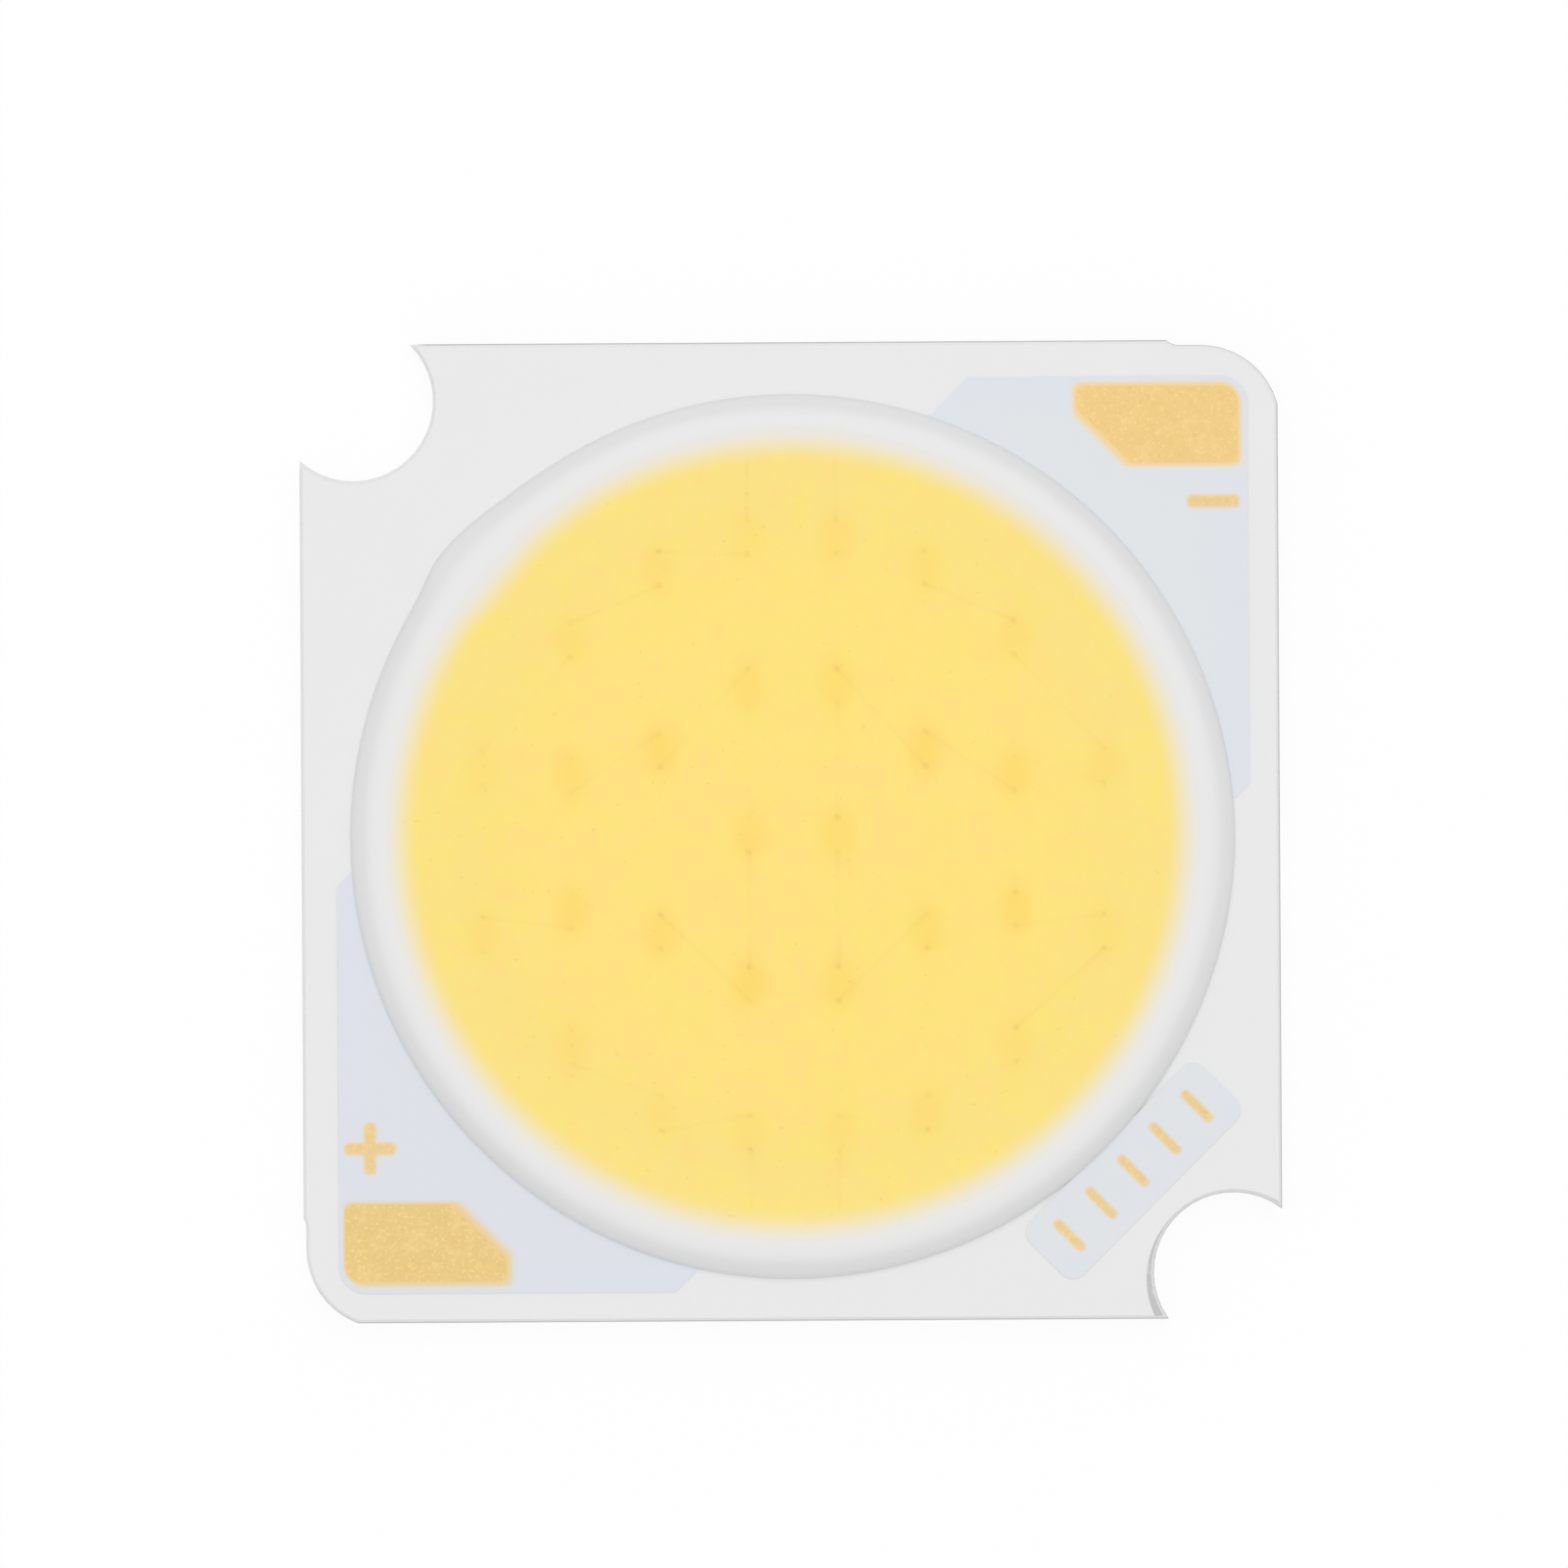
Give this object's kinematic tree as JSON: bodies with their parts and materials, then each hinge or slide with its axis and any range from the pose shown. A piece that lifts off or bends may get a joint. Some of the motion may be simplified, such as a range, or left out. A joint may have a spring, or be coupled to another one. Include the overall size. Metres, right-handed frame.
{
  "type": "cob led",
  "caption": "Square chip-on-board light source: a thin metal plate with two half-open screw notches, solder pads, and a white ring dam filled with yellow phosphor gel.",
  "frame": {"origin": "centre of the plate's back face, which is the heat-sink face", "axes": "+Z the way the light leaves, +X and +Y along the plate's edges, with the minus pad in the +X +Y corner"},
  "size_m": [0.019, 0.019, 0.0016],
  "materials": {
    "aluminium_base": "bright rolled, scored and snapped edges",
    "bonding_film": "cured adhesive film",
    "board": "white laminate",
    "copper": "rolled copper foil",
    "white_mask": "satin white ink",
    "gold": "matte gold plating, fine grain",
    "white_silicone": "smooth satin",
    "phosphor_silicone": "smooth, with phosphor powder",
    "clear_silicone": "thin cured adhesive",
    "chip_crystal": "polished crystal"
  },
  "bodies": {
    "root": {"base_plate": "aluminium_base", "bonding_film": "bonding_film", "circuit_board": "board", "cathode_copper": "copper", "anode_copper": "copper", "marking_copper": "copper", "solder_mask": "white_mask", "cathode_pad": "gold", "anode_pad": "gold", "dam_ring": "white_silicone", "phosphor_gel": "phosphor_silicone", "die_attach_left": "clear_silicone", "die_attach_right": "clear_silicone", "bond_wires_left": "gold", "bond_wires_right": "gold", "led_chip_01": "chip_crystal", "led_chip_02": "chip_crystal", "led_chip_03": "chip_crystal", "led_chip_04": "chip_crystal", "led_chip_05": "chip_crystal", "led_chip_06": "chip_crystal", "led_chip_07": "chip_crystal", "led_chip_08": "chip_crystal", "led_chip_09": "chip_crystal", "led_chip_10": "chip_crystal", "led_chip_11": "chip_crystal", "led_chip_12": "chip_crystal", "led_chip_13": "chip_crystal", "led_chip_14": "chip_crystal", "led_chip_15": "chip_crystal", "led_chip_16": "chip_crystal", "led_chip_17": "chip_crystal", "led_chip_18": "chip_crystal", "led_chip_19": "chip_crystal", "led_chip_20": "chip_crystal", "led_chip_21": "chip_crystal", "led_chip_22": "chip_crystal", "led_chip_23": "chip_crystal", "led_chip_24": "chip_crystal", "led_chip_25": "chip_crystal", "led_chip_26": "chip_crystal", "led_chip_27": "chip_crystal", "led_chip_28": "chip_crystal", "led_chip_29": "chip_crystal", "led_chip_30": "chip_crystal"}
  },
  "joints": []
}
